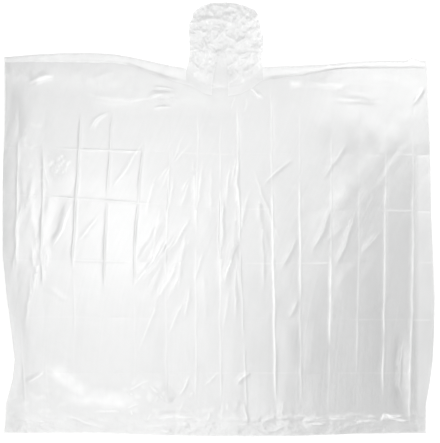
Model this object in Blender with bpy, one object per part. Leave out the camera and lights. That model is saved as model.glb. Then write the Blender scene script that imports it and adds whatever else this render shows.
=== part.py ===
"""A throw-away rain poncho of clear film, laid flat on its back with the front up.

The scene is in metres with +Z up and +Y towards the hood. Sizes here are in
millimetres: x runs right from the centre line, and drop runs down the body from
the shoulder line, so the hood has negative drops. Each piece of film is a thin
wall, thickened upwards from the sheet that its functions describe.
"""

import math
from collections import namedtuple

import bmesh
import bpy
import numpy as np

MM = 0.001

# Driving sizes
BODY_LENGTH = 1018.0  # shoulder line to the lowest point of the hem
HOOD_HEIGHT = 167.0  # shoulder line to the crown of the hood
WALL = 1.2  # each layer of film
GAP = 0.3  # between layers, and where pieces meet edge to edge
MIDDLE_DROP = (BODY_LENGTH - HOOD_HEIGHT) / 2

# Heights of the layers' lower faces above the surface that the poncho lies on
BACK_LEVEL = 0.0
FRONT_LEVEL = BACK_LEVEL + WALL + GAP
SEAM_LEVEL = FRONT_LEVEL + WALL + GAP

# The side edges of the body
SideStation = namedtuple("SideStation", "drop left right")
SIDES = (
    SideStation(-20, -584, 566),
    SideStation(44, -584, 575),
    SideStation(207, -586, 579),
    SideStation(404, -589, 582),
    SideStation(535, -592, 588),
    SideStation(633, -582, 592),
    SideStation(732, -566, 590),
    SideStation(808, -556, 586),
    SideStation(863, -562, 579),
    SideStation(928, -581, 568),
    SideStation(1018, -587, 567),
)

# The front's top edge along the shoulders and round the neck, and the line below it
# where the folded seam allowance ends, or within the neck the lower edge of the hood
TopStation = namedtuple("TopStation", "x edge seam")
TOP = (
    TopStation(-590, -18, -4),
    TopStation(-505, -25, -5),
    TopStation(-431, -29, -5),
    TopStation(-349, -30, -4),
    TopStation(-289, -27, -3),
    TopStation(-240, -19, 4),
    TopStation(-186, -7, 25),
    TopStation(-131, 5, 44),
    TopStation(-92, 11, 55),
    TopStation(-78, 25, 58),
    TopStation(-60, 44, 67),
    TopStation(-35, 58, 82),
    TopStation(11, 66, 90),
    TopStation(60, 59, 82),
    TopStation(93, 42, 66),
    TopStation(112, 24, 50),
    TopStation(126, 8, 43),
    TopStation(224, 5, 33),
    TopStation(306, 1, 17),
    TopStation(347, -4, 12),
    TopStation(415, -8, 12),
    TopStation(590, -8, 11),
)
NECK_LEFT = -92.0
NECK_RIGHT = 126.0

# The back's corner that stands out above the right shoulder
CORNER_LEFT, CORNER_PEAK, CORNER_RIGHT = 512.0, 528.0, 556.0
CORNER_RISE = 9.0

# The lower edge
HemStation = namedtuple("HemStation", "x drop")
HEM = (
    HemStation(-590, 1007),
    HemStation(-300, 1010),
    HemStation(-100, 1015),
    HemStation(90, 1018),
    HemStation(220, 1016),
    HemStation(380, 1009),
    HemStation(590, 1008),
)

# How far the front's edges lie inside the back's
EDGE_INSET = 2.6
EDGE_INSET_SWING = 1.8
EDGE_INSET_WAVE = 74.0

# The creases left by the packing, which stand up as ridges
CREASE_HALF_WIDTH = 9.0
DownCrease = namedtuple("DownCrease", "top_x middle_x hem_x top_rise middle_rise hem_rise")
DOWN_CREASES = (
    DownCrease(-540, -552, -520, 1.0, 3.0, 0.5),
    DownCrease(-467, -483, -459, 0.0, 2.5, 0.0),
    DownCrease(-366, -396, -385, 0.0, 3.5, 0.0),
    DownCrease(-281, -311, -306, 0.5, 3.2, 0.0),
    DownCrease(-188, -229, -227, 0.5, 3.2, 0.0),
    DownCrease(-120, -142, -142, 0.0, 2.0, 0.5),
    DownCrease(-52, -60, -60, 0.0, 2.2, 0.5),
    DownCrease(8, 5, 8, 0.0, 2.6, 1.0),
    DownCrease(50, 60, 82, 0.0, 3.0, 1.5),
    DownCrease(142, 150, 161, 0.5, 4.2, 2.5),
    DownCrease(221, 224, 227, 0.5, 3.4, 2.0),
    DownCrease(309, 309, 300, 0.0, 4.0, 2.0),
    DownCrease(385, 385, 374, 0.0, 2.4, 1.6),
    DownCrease(459, 456, 448, 0.5, 4.2, 2.4),
    DownCrease(532, 532, 521, 1.0, 4.6, 3.6),
)
CrossCrease = namedtuple("CrossCrease", "drop left_rise right_rise")
CROSS_CREASES = (
    CrossCrease(243, 2.2, 1.2),
    CrossCrease(393, 2.4, 1.6),
    CrossCrease(543, 1.6, 2.2),
    CrossCrease(693, 0.6, 1.8),
    CrossCrease(843, 0.6, 1.2),
)
YOKE_DROP = 130.0
HEM_FOLD_DROP = 972.0

# The loose folds of the front: each a crest from one point to another, bowed sideways
Fold = namedtuple("Fold", "x drop end_x end_drop bow half_width rise")
BODY_FOLDS = (
    # left shoulder and yoke
    Fold(-520, 58, -450, 34, 4, 14, 5),
    Fold(-362, 78, -186, 76, -24, 18, 7),
    Fold(-191, 80, -112, 74, -4, 15, 5),
    Fold(-350, 186, -290, 128, 12, 14, 6),
    Fold(-185, 122, -120, 118, 2, 12, 5),
    # left chest, slanting down from the middle
    Fold(-200, 200, -292, 348, 3, 18, 5),
    Fold(-396, 368, -456, 512, 6, 22, 6),
    Fold(-322, 408, -386, 486, 3, 15, 4),
    Fold(-468, 600, -396, 646, -8, 14, 5),
    Fold(-505, 300, -532, 420, 4, 16, 5),
    Fold(-508, 400, -492, 548, 3, 14, 4),
    # middle
    Fold(-70, 250, -62, 400, 0, 14, 4),
    Fold(-120, 300, -142, 430, 0, 14, 4),
    Fold(-142, 462, -236, 610, 8, 15, 7),
    Fold(-72, 408, -140, 516, 4, 15, 6),
    Fold(-88, 455, -112, 620, 0, 14, 5),
    Fold(12, 340, 8, 534, 0, 18, 6),
    Fold(66, 470, 14, 606, -6, 17, 9),
    Fold(52, 190, 60, 430, -5, 14, 5),
    Fold(116, 380, 124, 640, 2, 13, 4),
    # right, fanning down from the shoulder's end
    Fold(92, 88, 128, 108, 2, 11, 5),
    Fold(222, 62, 372, 66, 0, 17, 5),
    Fold(298, 104, 460, 106, 3, 13, 4),
    Fold(206, 258, 120, 336, -6, 17, 6),
    Fold(350, 212, 280, 316, 4, 19, 6),
    Fold(216, 462, 164, 568, 4, 18, 7),
    Fold(318, 366, 248, 526, 5, 17, 7),
    Fold(380, 376, 312, 566, 6, 17, 8),
    Fold(505, 116, 276, 416, 14, 42, 8),
    Fold(528, 190, 386, 380, 10, 32, 6),
    Fold(566, 56, 494, 152, 3, 16, 6),
    Fold(444, 450, 388, 516, 4, 22, 5),
    Fold(216, 640, 192, 694, 2, 13, 5),
    Fold(512, 730, 500, 925, -10, 22, 6),
    # the crumpled hem
    Fold(-468, 832, -524, 874, 3, 15, 9),
    Fold(-470, 830, -386, 908, 6, 24, 12),
    Fold(-392, 902, -248, 944, -5, 24, 9),
    Fold(-404, 860, -352, 916, 2, 16, 7),
    Fold(-250, 898, -182, 860, 3, 14, 6),
    Fold(-272, 950, -204, 924, 3, 14, 6),
    Fold(-188, 872, -142, 922, 0, 18, 5),
    Fold(-108, 912, -74, 846, 0, 16, 5),
    Fold(-38, 880, 2, 838, 0, 15, 4),
    Fold(46, 878, 92, 838, 3, 18, 8),
    Fold(66, 912, 82, 992, 0, 14, 6),
    Fold(226, 980, 296, 964, 3, 14, 7),
    Fold(312, 970, 424, 976, 3, 14, 7),
    Fold(448, 956, 526, 980, 4, 15, 10),
    Fold(-560, 968, -428, 984, 3, 15, 6),
    Fold(-432, 956, -318, 994, 3, 14, 6),
    Fold(-186, 972, -48, 962, 3, 14, 5),
    Fold(534, 930, 552, 1004, 2, 14, 6),
)

# The hood: its sides, its crown and the edges of the face opening, by drop or by x
HOOD_SIDES = (
    SideStation(-136, -70, 108),
    SideStation(-126, -68, 109),
    SideStation(-115, -79, 115),
    SideStation(-82, -79, 123),
    SideStation(-38, -76, 123),
    SideStation(-16, -79, 117),
    SideStation(11, -85, 122),
    SideStation(60, -87, 121),
)
CrownStation = namedtuple("CrownStation", "x drop")
CROWN = (
    CrownStation(-80, -126),
    CrownStation(-70, -136),
    CrownStation(-60, -147),
    CrownStation(-44, -158),
    CrownStation(-20, -165),
    CrownStation(22, -HOOD_HEIGHT),
    CrownStation(50, -165),
    CrownStation(74, -158),
    CrownStation(100, -147),
    CrownStation(108, -136),
    CrownStation(116, -122),
)
FACE_OPENING = (
    SideStation(-HOOD_HEIGHT, 13.8, 14.2),
    SideStation(-40, 13.6, 14.4),
    SideStation(-25, 2, 22),
    SideStation(0, -7, 26),
    SideStation(38, -16, 27),
    SideStation(95, -18, 27),
)
HOOD_SHOULDER_DROP = -136.0  # where the crown turns into the sides
HOOD_FOOT_DROP = 60.0
HOOD_PUFF = 3.0
HOOD_MIDDLE = 18.0
HOOD_HALF_WIDTH = 104.0
HOOD_FOLDS = (
    Fold(-56, -117, 18, -119, 3, 13, 6),
    Fold(27, -146, 29, -98, 0, 11, 6),
    Fold(-42, -74, -34, -2, 3, 13, 7),
    Fold(106, -64, 112, 8, 2, 13, 7),
    Fold(56, -140, 90, -100, 3, 13, 5),
    Fold(-20, -20, -34, 20, 2, 11, 5),
    Fold(-70, -94, -24, -78, 2, 11, 5),
    Fold(-14, -56, 24, -96, 2, 12, 6),
    Fold(42, -46, 82, -74, 2, 11, 5),
    Fold(62, -36, 44, 10, 2, 13, 5),
    Fold(85, -104, 102, -52, 2, 12, 6),
    Fold(-36, -156, -8, -126, 2, 11, 5),
    Fold(-72, -42, -58, 4, 2, 10, 4),
)

# Mesh steps
COLUMN_PARTS = 8  # between two creases
ROW_STEP = 9.0
HOOD_STEP = 9.0
FRONT_TRIANGLES = 5400  # on one face of the front's wall, once thinned out

FILM_COLOUR = (0.86, 0.88, 0.88, 1.0)
SEAM_COLOUR = (0.90, 0.92, 0.92, 1.0)
HOOD_COLOUR = (0.82, 0.84, 0.84, 1.0)
FILM_ROUGHNESS = 0.22
FILM_ALPHA = 0.55


def column(rows, name):
    """One named column of a table, as an array."""
    return np.array([getattr(row, name) for row in rows], float)


def read_off(rows, by, name, place):
    """A table's column, read between its stations at a place given in another."""
    return np.interp(place, column(rows, by), column(rows, name))


def smooth(share):
    """0 to 1 with level ends, for a share that may run past them."""
    share = np.clip(share, 0.0, 1.0)
    return share * share * (3.0 - 2.0 * share)


def point(x, drop, height):
    """A place on the garment as a point of the scene, with the footprint's middle at the origin."""
    return (x * MM, (MIDDLE_DROP - drop) * MM, height * MM)


def crest(distance, half_width):
    """A packing crease's height at a distance from its line: a sharp tent."""
    return np.clip(1.0 - np.abs(distance) / half_width, 0.0, 1.0)


def crease_x(crease, drop):
    """Where a crease that runs down the panel is at this drop."""
    stations = (0.0, BODY_LENGTH / 2, BODY_LENGTH)
    return np.interp(drop, stations, (crease.top_x, crease.middle_x, crease.hem_x))


def crease_rise(crease, drop):
    stations = (YOKE_DROP, BODY_LENGTH / 2, BODY_LENGTH)
    return np.interp(drop, stations, (crease.top_rise, crease.middle_rise, crease.hem_rise))


def fold_rise(fold, x, drop):
    """How high one loose fold lifts the film at each point."""
    run = np.array((fold.end_x - fold.x, fold.end_drop - fold.drop), float)
    length = math.hypot(*run)
    run /= length
    along = ((x - fold.x) * run[0] + (drop - fold.drop) * run[1]) / length
    aside = (x - fold.x) * run[1] - (drop - fold.drop) * run[0]
    aside = aside - fold.bow * 4.0 * along * (1.0 - along)
    ends = smooth(np.minimum(along, 1.0 - along) / 0.3)
    return fold.rise * smooth(1.0 - np.abs(aside) / fold.half_width) * ends


def front_rise(x, drop):
    """The front's relief: packing creases and loose folds, laid flat at the seams."""
    rise = np.zeros_like(x)
    for crease in DOWN_CREASES:
        shape = crest(x - crease_x(crease, drop), CREASE_HALF_WIDTH)
        rise = np.maximum(rise, shape * crease_rise(crease, drop))
    across = (x - SIDES[0].left) / (SIDES[0].right - SIDES[0].left)
    for crease in CROSS_CREASES:
        height = crease.left_rise + (crease.right_rise - crease.left_rise) * across
        rise = np.maximum(rise, height * crest(drop - crease.drop, CREASE_HALF_WIDTH))
    folds = np.zeros_like(x)
    for fold in BODY_FOLDS:
        folds = np.maximum(folds, fold_rise(fold, x, drop))
    below_seam = drop - read_off(TOP, "x", "seam", x)
    return (rise + folds) * smooth((below_seam - 4.0) / 22.0)


def hood_rise(x, drop):
    """The crumpled hood's relief, with a slight puff, laid flat where it laps the neck."""
    rise = np.zeros_like(x)
    for fold in HOOD_FOLDS:
        rise = np.maximum(rise, fold_rise(fold, x, drop))
    puff = HOOD_PUFF * np.clip(1.0 - ((x - HOOD_MIDDLE) / HOOD_HALF_WIDTH) ** 2, 0.0, 1.0)
    above_neck = read_off(TOP, "x", "edge", x) - drop
    return (rise + puff) * smooth((above_neck - 2.0) / 40.0)


def lap_lift(x, drop):
    """What lifts the hood's fronts over the front panel's neck edge, complete well before it."""
    above_neck = read_off(TOP, "x", "edge", x) - drop
    return (WALL + GAP) * smooth((46.0 - above_neck) / 22.0)


def stops(bounds, parts):
    """Mesh lines on each bound, close beside it, and evenly between."""
    lines = []
    for start, end, count in zip(bounds[:-1], bounds[1:], parts):
        near = np.minimum(CREASE_HALF_WIDTH, (end - start) / 4)
        lines.append(start)
        lines.extend(np.linspace(start + near, end - near, count))
    lines.append(bounds[-1])
    return np.array(lines)


def edge_inset(place):
    return EDGE_INSET + EDGE_INSET_SWING * math.sin(place / EDGE_INSET_WAVE)


def front_grid():
    """The front's mesh points: lines that follow the creases, between its four edges."""
    inner = [YOKE_DROP] + [crease.drop for crease in CROSS_CREASES] + [HEM_FOLD_DROP]
    nominal = [-10.0, 20.0] + inner + [BODY_LENGTH]
    row_parts = [max(2, round((b - a) / ROW_STEP)) for a, b in zip(nominal[:-1], nominal[1:])]
    nominal_rows = stops(nominal, row_parts)
    column_parts = [COLUMN_PARTS] * (len(DOWN_CREASES) + 1)
    x = np.zeros((len(nominal_rows), (COLUMN_PARTS + 1) * len(column_parts) + 1))
    drop = np.zeros_like(x)
    for row, level in enumerate(nominal_rows):
        inset = edge_inset(level)
        left = read_off(SIDES, "drop", "left", level) + inset
        right = read_off(SIDES, "drop", "right", level) - inset
        creases = [crease_x(crease, level) for crease in DOWN_CREASES]
        x[row] = stops([left] + creases + [right], column_parts)
    for index in range(x.shape[1]):
        for row in range(x.shape[0]):
            place = x[row, index]
            top = read_off(TOP, "x", "edge", place)
            seam = read_off(TOP, "x", "seam", place)
            hem = read_off(HEM, "x", "drop", place) - edge_inset(place)
            drop[row, index] = stops([top, seam] + inner + [hem], row_parts)[row]
    return x, drop


def film(name, colour):
    """The clear film's material."""
    material = bpy.data.materials.new(name)
    material.use_nodes = True
    shader = material.node_tree.nodes["Principled BSDF"]
    shader.inputs["Base Color"].default_value = colour
    shader.inputs["Roughness"].default_value = FILM_ROUGHNESS
    shader.inputs["Metallic"].default_value = 0.0
    shader.inputs["Alpha"].default_value = FILM_ALPHA
    return material


def piece(name, shape, colour):
    """A named object from a bmesh, with its own material."""
    mesh = bpy.data.meshes.new(name)
    shape.to_mesh(mesh)
    shape.free()
    made = bpy.data.objects.new(name, mesh)
    mesh.materials.append(film(name + "_film", colour))
    bpy.context.scene.collection.objects.link(made)
    return made


def sheet(x, drop, height):
    """A sheet of triangles over a grid of rows and columns, facing up, split along its ridges."""
    shape = bmesh.new()
    rows, columns = x.shape
    corners = [
        [shape.verts.new(point(x[r, c], drop[r, c], height[r, c])) for c in range(columns)]
        for r in range(rows)
    ]
    for r in range(rows - 1):
        for c in range(columns - 1):
            upper_left, upper_right = corners[r][c], corners[r][c + 1]
            lower_left, lower_right = corners[r + 1][c], corners[r + 1][c + 1]
            if height[r, c] + height[r + 1, c + 1] > height[r, c + 1] + height[r + 1, c]:
                shape.faces.new((upper_left, lower_left, lower_right))
                shape.faces.new((upper_left, lower_right, upper_right))
            else:
                shape.faces.new((upper_left, lower_left, upper_right))
                shape.faces.new((upper_right, lower_left, lower_right))
    return shape


def thicken(shape):
    """Makes an upward-facing sheet into a closed wall, straight up by its thickness."""
    made = bmesh.ops.extrude_face_region(shape, geom=shape.faces[:])
    raised = [part for part in made["geom"] if isinstance(part, bmesh.types.BMVert)]
    bmesh.ops.translate(shape, verts=raised, vec=(0.0, 0.0, WALL * MM))
    bmesh.ops.recalc_face_normals(shape, faces=shape.faces[:])
    return shape


def plate(outline, level):
    """A flat wall over an outline of (x, drop) that runs anticlockwise from above."""
    shape = bmesh.new()
    shape.faces.new([shape.verts.new(point(x, drop, level)) for x, drop in outline])
    return thicken(shape)


def back_top(x):
    """The back's top edge: along the shoulders, straight across the neck, and the raised corner."""
    edge = read_off(TOP, "x", "edge", x)
    if NECK_LEFT < x < NECK_RIGHT:
        ends = [read_off(TOP, "x", "edge", end) for end in (NECK_LEFT, NECK_RIGHT)]
        edge = np.interp(x, (NECK_LEFT, NECK_RIGHT), ends)
    corner = np.interp(x, (CORNER_LEFT, CORNER_PEAK, CORNER_RIGHT), (0.0, CORNER_RISE, 0.0))
    return edge - corner


def back_panel():
    left = [(row.left, row.drop) for row in SIDES[1:-1]]
    right = [(row.right, row.drop) for row in reversed(SIDES[1:-1])]
    hem = [(row.x, row.drop) for row in HEM[1:-1]]
    hem = [(SIDES[-1].left, HEM[0].drop)] + hem + [(SIDES[-1].right, HEM[-1].drop)]
    shoulders = [row.x for row in TOP[1:-1] if not NECK_LEFT < row.x < NECK_RIGHT]
    across = [SIDES[0].left] + shoulders + [CORNER_LEFT, CORNER_PEAK, CORNER_RIGHT, SIDES[0].right]
    top = [(x, back_top(x)) for x in reversed(across)]
    return piece("back_panel", plate(left + hem + right + top, BACK_LEVEL), FILM_COLOUR)


def front_panel(x, drop):
    """The front as a fine sheet, thinned out where it is flat, and then given its wall."""
    made = piece("front_panel", sheet(x, drop, FRONT_LEVEL + front_rise(x, drop)), FILM_COLOUR)
    thin_out = made.modifiers.new("thin out", "DECIMATE")
    thin_out.ratio = FRONT_TRIANGLES / len(made.data.polygons)
    graph = bpy.context.evaluated_depsgraph_get()
    thinned = bpy.data.meshes.new_from_object(made.evaluated_get(graph))
    for corner in thinned.vertices:
        corner.co.z = max(corner.co.z, FRONT_LEVEL * MM)
    made.modifiers.remove(thin_out)
    made.data = thinned
    wall = made.modifiers.new("wall", "SOLIDIFY")
    wall.thickness = WALL * MM
    wall.offset = 1.0
    return made


def shoulder_seam(name, start, end):
    """The sealed allowance along one shoulder, from the front's edge to where it ends."""
    x = np.linspace(start, end, 1 + round((end - start) / (2 * ROW_STEP)))
    rows = np.linspace(0.0, 1.0, 3)[:, None]
    edge = np.array([back_top(place) for place in x]) + EDGE_INSET - EDGE_INSET_SWING
    seam = read_off(TOP, "x", "seam", x)
    across = np.broadcast_to(x, (3, len(x)))
    down = edge + (seam - edge) * rows
    level = np.full(down.shape, SEAM_LEVEL)
    return piece(name, thicken(sheet(across, down, level)), SEAM_COLOUR)


def hood_back():
    """The hood's lowest layer, down to the back's neck edge."""
    foot = [row for row in HOOD_SIDES if row.drop < back_top(row.left)]
    left = [(row.left, row.drop) for row in foot]
    right = [(row.right, row.drop) for row in reversed(foot)]
    crown = [(row.x, row.drop) for row in reversed(CROWN[2:-2])]
    neck = [(x, back_top(x) - GAP) for x in (HOOD_SIDES[-2].left, HOOD_SIDES[-2].right)]
    return piece("hood_back", plate(left + neck + right + crown, BACK_LEVEL), HOOD_COLOUR)


def hood_front(name, side):
    """One half of the hood's front: from its side fold in to the face opening, crown to neck."""
    down = np.linspace(0.0, 1.0, 1 + round((HOOD_HEIGHT + HOOD_FOOT_DROP) / HOOD_STEP))[:, None]
    level = HOOD_SHOULDER_DROP + (HOOD_FOOT_DROP - HOOD_SHOULDER_DROP) * down
    outer = read_off(HOOD_SIDES, "drop", side, level)
    inner = read_off(FACE_OPENING, "drop", side, level)
    left, right = (outer, inner) if side == "left" else (inner, outer)
    across = np.linspace(0.0, 1.0, 1 + round(HOOD_HALF_WIDTH / HOOD_STEP))[None, :]
    x = left + (right - left) * across
    crown = read_off(CROWN, "x", "drop", x)
    foot = read_off(TOP, "x", "seam", x)
    drop = crown + (foot - crown) * down
    height = FRONT_LEVEL + lap_lift(x, drop) + hood_rise(x, drop)
    return piece(name, thicken(sheet(x, drop, height)), HOOD_COLOUR)


def main():
    for existing in list(bpy.data.objects):
        bpy.data.objects.remove(existing)
    back_panel()
    x, drop = front_grid()
    front_panel(x, drop)
    shoulder_seam("shoulder_seam_left", SIDES[0].left + EDGE_INSET, NECK_LEFT)
    shoulder_seam("shoulder_seam_right", NECK_RIGHT, SIDES[0].right - EDGE_INSET)
    hood_back()
    hood_front("hood_front_left", "left")
    hood_front("hood_front_right", "right")


main()
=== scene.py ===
import math

import bpy
import numpy as np
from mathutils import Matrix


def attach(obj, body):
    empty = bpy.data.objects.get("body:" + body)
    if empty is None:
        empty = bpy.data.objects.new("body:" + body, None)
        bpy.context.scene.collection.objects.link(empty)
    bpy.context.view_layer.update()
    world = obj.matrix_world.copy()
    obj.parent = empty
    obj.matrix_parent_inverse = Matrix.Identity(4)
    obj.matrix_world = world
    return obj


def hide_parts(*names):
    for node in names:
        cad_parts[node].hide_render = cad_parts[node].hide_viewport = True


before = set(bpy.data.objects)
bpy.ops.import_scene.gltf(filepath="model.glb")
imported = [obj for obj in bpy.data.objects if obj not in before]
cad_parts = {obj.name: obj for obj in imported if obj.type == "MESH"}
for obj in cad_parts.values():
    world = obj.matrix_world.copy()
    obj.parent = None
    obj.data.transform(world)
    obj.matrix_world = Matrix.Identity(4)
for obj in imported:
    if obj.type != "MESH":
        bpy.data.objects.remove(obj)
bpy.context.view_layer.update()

mm = 0.001
middleDrop = 425.5  # the footprint's middle, below the shoulder line

# Sizes are millimetres. x runs right from the centre line, and drop runs down from the
# shoulder line, so the hood has negative drops.
garment = {
    "length": 1018.0,
    # drop, left edge, right edge
    "sides": (
        (-20, -584, 566), (44, -584, 575), (207, -586, 579), (404, -589, 582),
        (535, -592, 588), (633, -582, 592), (732, -566, 590), (808, -556, 586),
        (863, -562, 579), (928, -581, 568), (1018, -587, 567),
    ),
    # x, top edge, line where the seam allowance or the hood ends
    "top": (
        (-590, -18, -4), (-505, -25, -5), (-431, -29, -5), (-349, -30, -4),
        (-289, -27, -3), (-240, -19, 4), (-186, -7, 25), (-131, 5, 44),
        (-92, 11, 55), (-78, 25, 58), (-60, 44, 67), (-35, 58, 82),
        (11, 66, 90), (60, 59, 82), (93, 42, 66), (112, 24, 50),
        (126, 8, 43), (224, 5, 33), (306, 1, 17), (347, -4, 12),
        (415, -8, 12), (590, -8, 11),
    ),
    # x, lower edge
    "hem": (
        (-590, 1007), (-300, 1010), (-100, 1015), (90, 1018),
        (220, 1016), (380, 1009), (590, 1008),
    ),
    "neck": (-92.0, 126.0),
    "corner": ((512, 0), (528, 9), (556, 0)),  # x and rise of the back's raised corner
    "span": 590.0,  # from the centre line to just past the side edges
    "topLine": -10.0,  # the mesh lines' own drops at the top edge, the seam, the yoke and the hem's fold
    "seamLine": 20.0,
    "yokeLine": 130.0,
    "hemFoldLine": 972.0,
}
# the fine line that the material draws along a crest: a painted highlight with a painted shadow beside it
fineLine = {
    "reach": 10.0,  # how far aside it is felt
    "fullRise": 3.2,  # a crest this high has its line in full
    "leastRise": 1.2,  # a lower crest has no line of its own
    "broadest": 18.0,  # nor has a broader one
    "apart": 2.0,  # no line where the next crest is less than this farther away
    "fade": 5.0,  # and the whole line where it is this much farther still
    "strongest": 1.3,
}
# smooth lumps: how many before they repeat, where they start, and what brings them near -1 and 1
lumpPattern = {"cells": 64, "startX": 20.3, "startDrop": 20.7, "gain": 1.5}
# screwed-up film: how far and how broadly its crests wander, and its coarse and fine parts
crumplePattern = {"bend": 0.35, "bendSize": 1.6, "coarse": 0.7, "fine": 0.3, "fineSize": 0.45}
strandSpread = {"lean": 0.16, "bow": 4.0}  # how much loose folds differ
grainLean = {"most": 150.0, "middleDrop": 330.0, "spread": 280.0}  # the grain leans most across the chest
smoothAngle = math.radians(60)


def smooth(share):
    share = np.clip(share, 0.0, 1.0)
    return share * share * (3.0 - 2.0 * share)


def ramp(start, run, value):
    # from 0 at the start to 1 a run further on
    return smooth((value - start) / run)


def fade(end, run, value):
    # from 1 a run before the end to 0 at the end
    return smooth((end - value) / run)


def readOff(table, value, column, by=0):
    rows = np.array(table, float)
    return np.interp(value, rows[:, by], rows[:, column])


def readPair(table, value):
    return readOff(table, value, 1), readOff(table, value, 2)


def softNoise(x, drop, size, seed):
    # smooth lumps about one size apart, from -1 to 1
    cells = lumpPattern["cells"]
    turns = np.random.default_rng(seed).uniform(0.0, 2.0 * math.pi, (cells, cells))
    across, down = x / size + lumpPattern["startX"], drop / size + lumpPattern["startDrop"]
    column, row = np.floor(across).astype(int), np.floor(down).astype(int)
    shareAcross, shareDown = across - column, down - row
    value = np.zeros(np.broadcast(x, drop).shape)
    for stepAcross in (0, 1):
        for stepDown in (0, 1):
            turn = turns[(row + stepDown) % cells, (column + stepAcross) % cells]
            lean = np.cos(turn) * (shareAcross - stepAcross) + np.sin(turn) * (shareDown - stepDown)
            weightAcross = smooth(shareAcross if stepAcross else 1.0 - shareAcross)
            weightDown = smooth(shareDown if stepDown else 1.0 - shareDown)
            value = value + lean * weightAcross * weightDown
    return value * lumpPattern["gain"]


def crumple(x, drop, size, seed):
    # sharp crests between rounded hollows, like screwed-up film, from 0 to 1
    bend, bendSize = crumplePattern["bend"], crumplePattern["bendSize"]
    bentX = x + bend * size * softNoise(x, drop, bendSize * size, seed + 1)
    bentDrop = drop + bend * size * softNoise(x, drop, bendSize * size, seed + 2)
    coarse = 1.0 - np.abs(softNoise(bentX, bentDrop, size, seed))
    fine = 1.0 - np.abs(softNoise(bentX, bentDrop, crumplePattern["fineSize"] * size, seed + 3))
    return crumplePattern["coarse"] * coarse ** 2 + crumplePattern["fine"] * fine ** 2


def blunt(distance, roundness=0.03, sink=0.12):
    # a distance in half widths, without the sharp point at 0
    return np.sqrt(distance * distance + roundness) - sink


def crestProfile(distance, sharpness=1.7):
    # a fold's height across it, for a distance in half widths: a rounded crest with hollow flanks
    return np.clip(1.0 - blunt(distance), 0.0, 1.0) ** sharpness


def facetProfile(distance, soft=0.4, straight=0.6):
    # an almost level slope that runs out softly
    rounded = blunt(distance)
    return smooth(1.0 - rounded) * soft + straight * np.clip(1.0 - rounded, 0.0, 1.0)


def sharpProfile(distance, sharpness=1.25):
    return np.clip(1.0 - np.abs(distance), 0.0, 1.0) ** sharpness


def foldWay(fold, x, drop, endShare=0.35):
    # how far each place lies aside of a fold's crest, and the share of its rise left near its ends
    startX, startDrop, endX, endDrop, bow = fold[:5]
    runX, runDrop = endX - startX, endDrop - startDrop
    length = math.hypot(runX, runDrop)
    along = ((x - startX) * runX + (drop - startDrop) * runDrop) / length ** 2
    aside = ((x - startX) * runDrop - (drop - startDrop) * runX) / length
    aside = aside - bow * 4.0 * along * (1.0 - along)
    return aside, smooth(np.minimum(along, 1.0 - along) / endShare)


def foldLift(fold, x, drop):
    # the half width may be a pair, for the sides on the left and the right of the way down the crest
    aside, ends = foldWay(fold, x, drop)
    halfWidth, rise = fold[5:]
    if isinstance(halfWidth, tuple):
        across = aside / np.where(aside < 0.0, halfWidth[0], halfWidth[1])
        return rise * ends * facetProfile(across)
    narrowed = 0.75 + 0.25 * ends  # a crest is narrower at its ends
    return rise * ends * crestProfile(aside / (halfWidth * narrowed))


def strongest(folds, x, drop):
    lift = np.zeros_like(x)
    for fold in folds:
        lift = np.maximum(lift, foldLift(fold, x, drop))
    return lift


def crestMarks(folds, x, drop):
    # how far aside the closest crest lies, and how strong: the painted crest highlight and shadow come from
    # these
    reach = fineLine["reach"]
    distance = np.full_like(x, reach)
    nextDistance = np.full_like(x, 2.0 * reach)
    strength = np.zeros_like(x)
    for fold in folds:
        halfWidth, rise = fold[5:]
        if rise < fineLine["leastRise"] or halfWidth > fineLine["broadest"]:
            continue
        aside, ends = foldWay(fold, x, drop)
        aside = np.where(ends > 0.0, aside, 2.0 * reach)
        closer = np.abs(aside) < np.abs(distance)
        second = np.where(np.abs(aside) < np.abs(nextDistance), aside, nextDistance)
        nextDistance = np.where(closer, distance, second)
        distance = np.where(closer, aside, distance)
        strength = np.where(closer, ends * rise / fineLine["fullRise"], strength)
    strength = strength * smooth(1.0 - np.abs(distance) / reach)
    farther = np.abs(nextDistance) - np.abs(distance)
    strength = strength * smooth((farther - fineLine["apart"]) / fineLine["fade"])
    return {"crest": distance, "crestRise": np.clip(strength, 0.0, fineLine["strongest"])}


def strands(count, region, slant, length, halfWidth, rise, seed):
    # loose small folds strewn over a region of (x, drop, endX, endDrop)
    draw = np.random.default_rng(seed)
    bow = strandSpread["bow"]
    made = []
    for _ in range(count):
        x, drop = draw.uniform(region[0], region[2]), draw.uniform(region[1], region[3])
        run, lean = draw.uniform(*length), draw.normal(slant, strandSpread["lean"])
        end = (x + run * math.sin(lean), drop + run * math.cos(lean))
        made.append((x, drop, *end, draw.uniform(-bow, bow), draw.uniform(*halfWidth), draw.uniform(*rise)))
    return made


def stops(bounds, near, parts, room=2.6):
    # mesh lines on each bound, close beside it, and evenly between; the close ones draw in where
    # the gap is less than their width times the room
    lines = []
    for start, end, count in zip(bounds[:-1], bounds[1:], parts):
        shrink = min(1.0, (end - start) / (room * near[-1]))
        beside = np.array(near) * shrink
        middle = np.linspace(start + beside[-1], end - beside[-1], count)
        lines += [start, *(start + beside[:-1]), *middle, *(end - beside[:-1][::-1])]
    return np.array(lines + [bounds[-1]])


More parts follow.
